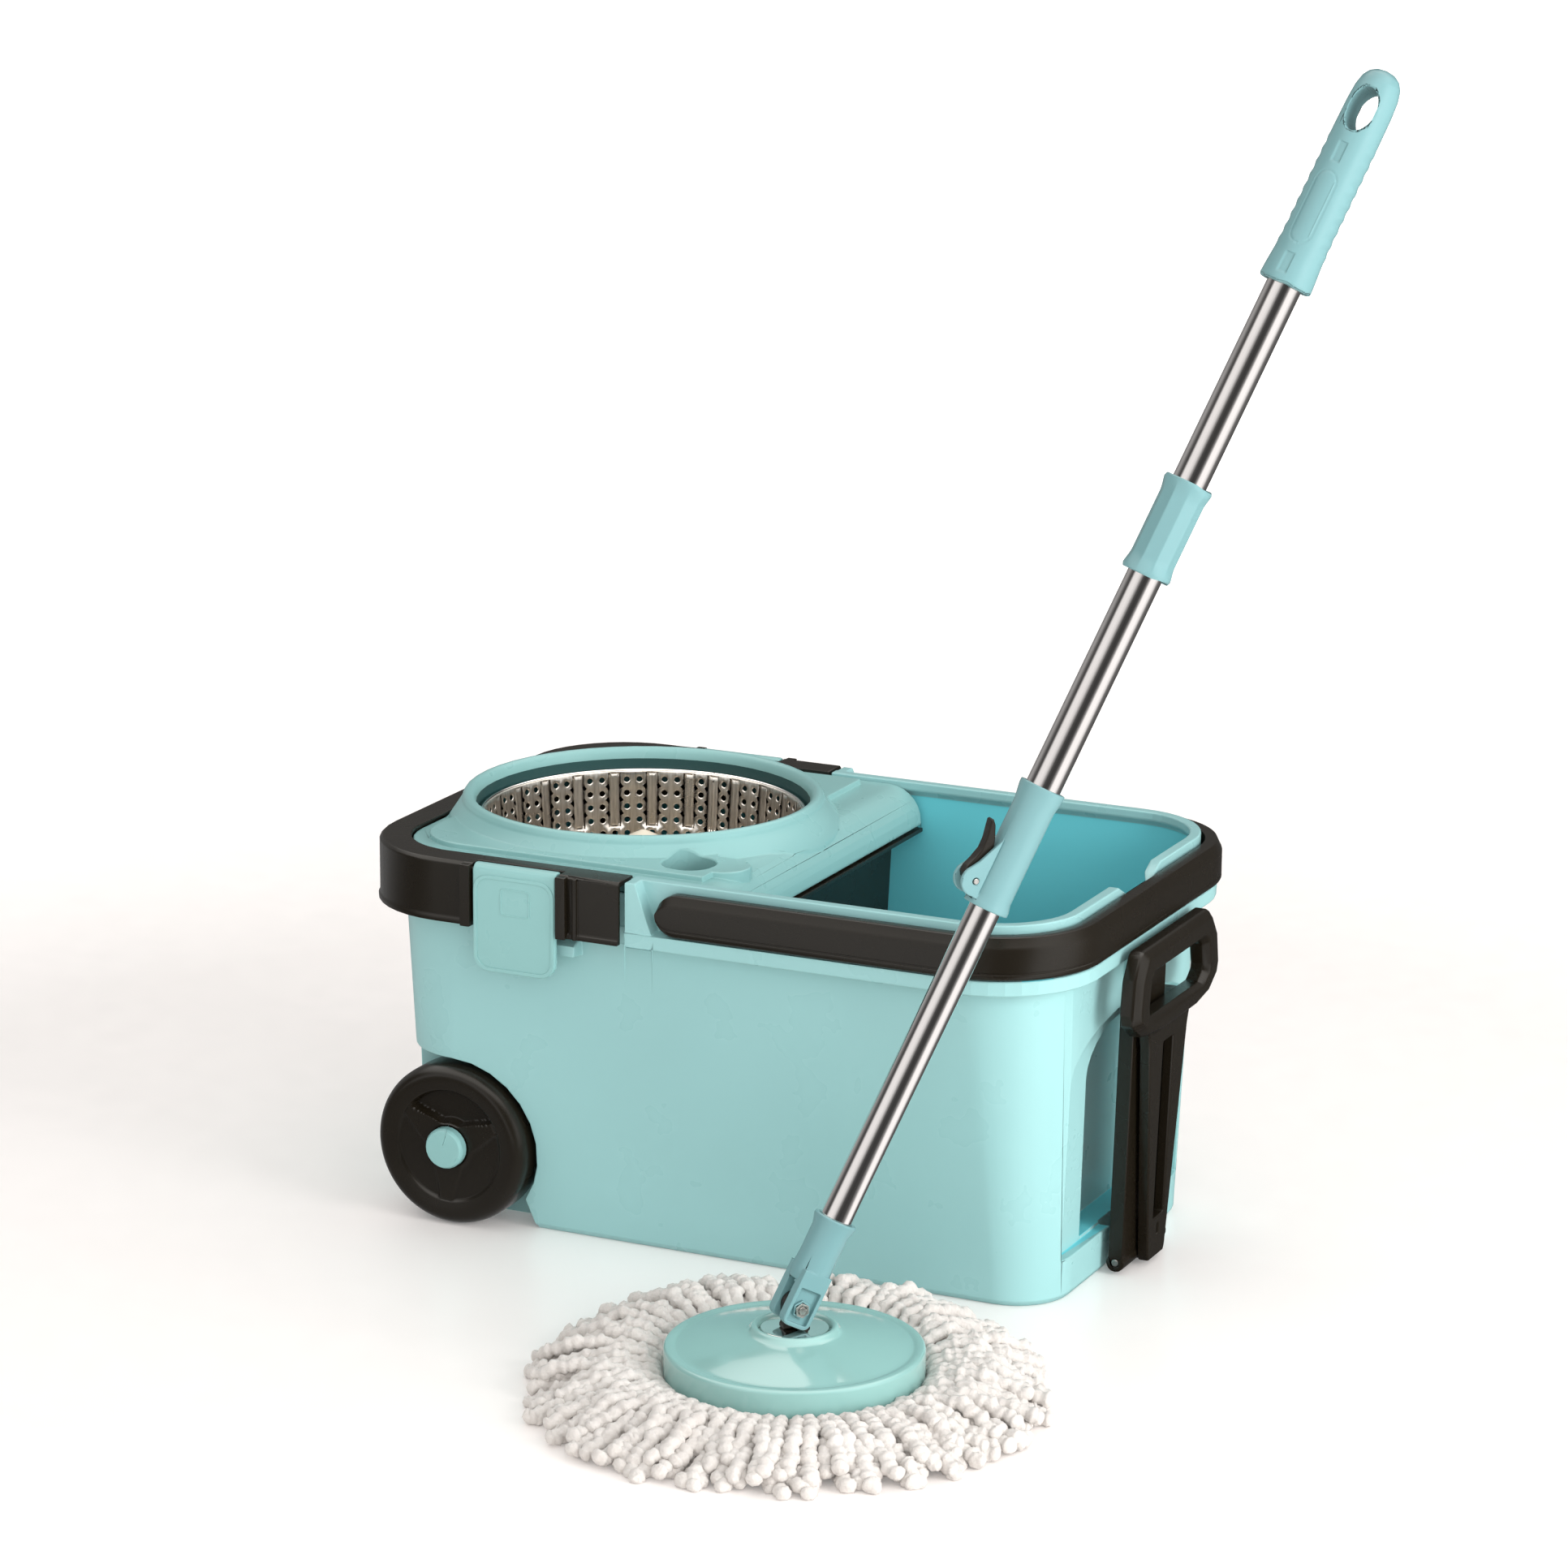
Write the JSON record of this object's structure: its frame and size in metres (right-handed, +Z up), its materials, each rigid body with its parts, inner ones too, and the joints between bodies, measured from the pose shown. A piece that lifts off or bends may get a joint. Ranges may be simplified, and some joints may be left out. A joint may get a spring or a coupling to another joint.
{
  "type": "spin mop",
  "caption": "Wheeled wringer bucket with a perforated spin basket, carry and pull handles, and a telescopic mop with a round microfibre head.",
  "frame": {"origin": "centre of the flat underside of the bucket", "axes": "+X towards the end with the folding pull handle, +Y towards the long side away from the mop, +Z up"},
  "size_m": [0.6737, 0.6685, 0.7955],
  "materials": {
    "teal_plastic": "satin gloss injection-moulded",
    "deep_teal_plastic": "gloss injection-moulded",
    "black_plastic": "satin injection-moulded",
    "basket_steel": "brushed and perforated",
    "chrome": "polished",
    "hardware_steel": "zinc plated",
    "cream_plastic": "satin",
    "white_plastic": "satin",
    "microfibre": "chenille strands"
  },
  "bodies": {
    "bucket": {"bucket_shell": "teal_plastic", "collar": "black_plastic", "tray": "teal_plastic", "divider_panel": "black_plastic", "basket_cradle": "black_plastic", "basket_spindle": "hardware_steel", "thrust_washer": "white_plastic", "bail_pin_front": "hardware_steel", "bail_pin_back": "hardware_steel", "latch_pin_front": "hardware_steel", "latch_pin_back": "hardware_steel", "wheel_axle": "hardware_steel", "pull_hinge_pin": "hardware_steel"},
    "wheel_front_set": {"wheel_front": "black_plastic", "hub_cap_front": "teal_plastic"},
    "wheel_back_set": {"wheel_back": "black_plastic", "hub_cap_back": "teal_plastic"},
    "spin_basket": {"basket": "basket_steel", "basket_hub": "cream_plastic"},
    "carry_handle": {"bail": "black_plastic"},
    "front_latch": {"latch_front": "teal_plastic"},
    "back_latch": {"latch_back": "teal_plastic"},
    "pull_arm": {"pull_arm_inner": "black_plastic"},
    "pull_grip": {"pull_arm_outer": "black_plastic", "pull_knuckle_pin": "hardware_steel"},
    "mop_head": {"mop_disc": "deep_teal_plastic", "mop_plate": "chrome", "mop_tongue": "black_plastic", "head_screw": "hardware_steel", "refill_ring": "white_plastic", "mop_fringe": "microfibre"},
    "lower_pole": {"fork": "teal_plastic", "fork_bolt": "hardware_steel", "fork_nut": "hardware_steel", "lower_tube": "chrome", "drive_nut": "hardware_steel", "nut_cap": "black_plastic"},
    "pole_carriage": {"clamp_bush": "black_plastic"},
    "upper_pole": {"pole_clamp": "teal_plastic", "lever_rivet": "hardware_steel", "upper_tube_low": "chrome", "upper_tube_high": "chrome", "middle_sleeve": "teal_plastic", "drive_screw": "hardware_steel", "screw_plug": "black_plastic", "grip": "deep_teal_plastic"},
    "lever": {"clamp_lever": "black_plastic"}
  },
  "joints": [
    {"name": "wheel_front_spin", "type": "hinge", "parent": "bucket", "child": "wheel_front_set", "pos_m": [-0.19, 0, 0.0555], "axis": [0, 1, 0], "continuous": true},
    {"name": "wheel_back_spin", "type": "hinge", "parent": "bucket", "child": "wheel_back_set", "pos_m": [-0.19, 0, 0.0555], "axis": [0, 1, 0], "continuous": true},
    {"name": "basket_spin", "type": "hinge", "parent": "bucket", "child": "spin_basket", "pos_m": [-0.1183, 0, 0.2], "axis": [0, 0, 1], "continuous": true},
    {"name": "bail_swing", "type": "hinge", "parent": "bucket", "child": "carry_handle", "pos_m": [-0.0105, 0, 0.24275], "axis": [0, -1, 0], "range_deg": [0, 90]},
    {"name": "latch_front_swing", "type": "hinge", "parent": "bucket", "child": "front_latch", "pos_m": [-0.125, -0.1665, 0.2562], "axis": [-1, 0, 0], "range_deg": [0, 75]},
    {"name": "latch_back_swing", "type": "hinge", "parent": "bucket", "child": "back_latch", "pos_m": [-0.125, 0.1665, 0.2562], "axis": [1, 0, 0], "range_deg": [0, 75]},
    {"name": "pull_arm_swing", "type": "hinge", "parent": "bucket", "child": "pull_arm", "pos_m": [0.25, 0, 0.208], "axis": [0, -1, 0], "range_deg": [0, 115]},
    {"name": "pull_grip_fold", "type": "hinge", "parent": "pull_arm", "child": "pull_grip", "pos_m": [0.2445, 0, 0.0085], "axis": [0, 1, 0], "range_deg": [0, 180.5]},
    {"name": "mop_lift", "type": "slide", "parent": "bucket", "child": "mop_head", "axis": [0, -0.6, 0.8], "range_m": [0, 0.3]},
    {"name": "pole_tilt", "type": "hinge", "parent": "mop_head", "child": "lower_pole", "pos_m": [0.1525, -0.33, 0.0618], "axis": [-0.732, 0.6813, 0], "range_deg": [-115, 6]},
    {"name": "pole_slide", "type": "slide", "parent": "lower_pole", "child": "pole_carriage", "axis": [0.3106, 0.3338, 0.89], "range_m": [-0.15, 0.22]},
    {"name": "pole_spin", "type": "hinge", "parent": "pole_carriage", "child": "upper_pole", "pos_m": [0.1525, -0.33, 0.0618], "axis": [0.3106, 0.3338, 0.89], "range_deg": [-602, 882]},
    {"name": "lever_swing", "type": "hinge", "parent": "upper_pole", "child": "lever", "pos_m": [0.22931, -0.24836, 0.31898], "axis": [0.7527, -0.6581, -0.0159], "range_deg": [0, 100]}
  ],
  "couplings": [
    {"joint": "pull_grip_fold", "follows": "pull_arm_swing", "ratio": 1.565},
    {"joint": "pole_spin", "follows": "pole_slide", "rad_per_m": 69.813}
  ]
}
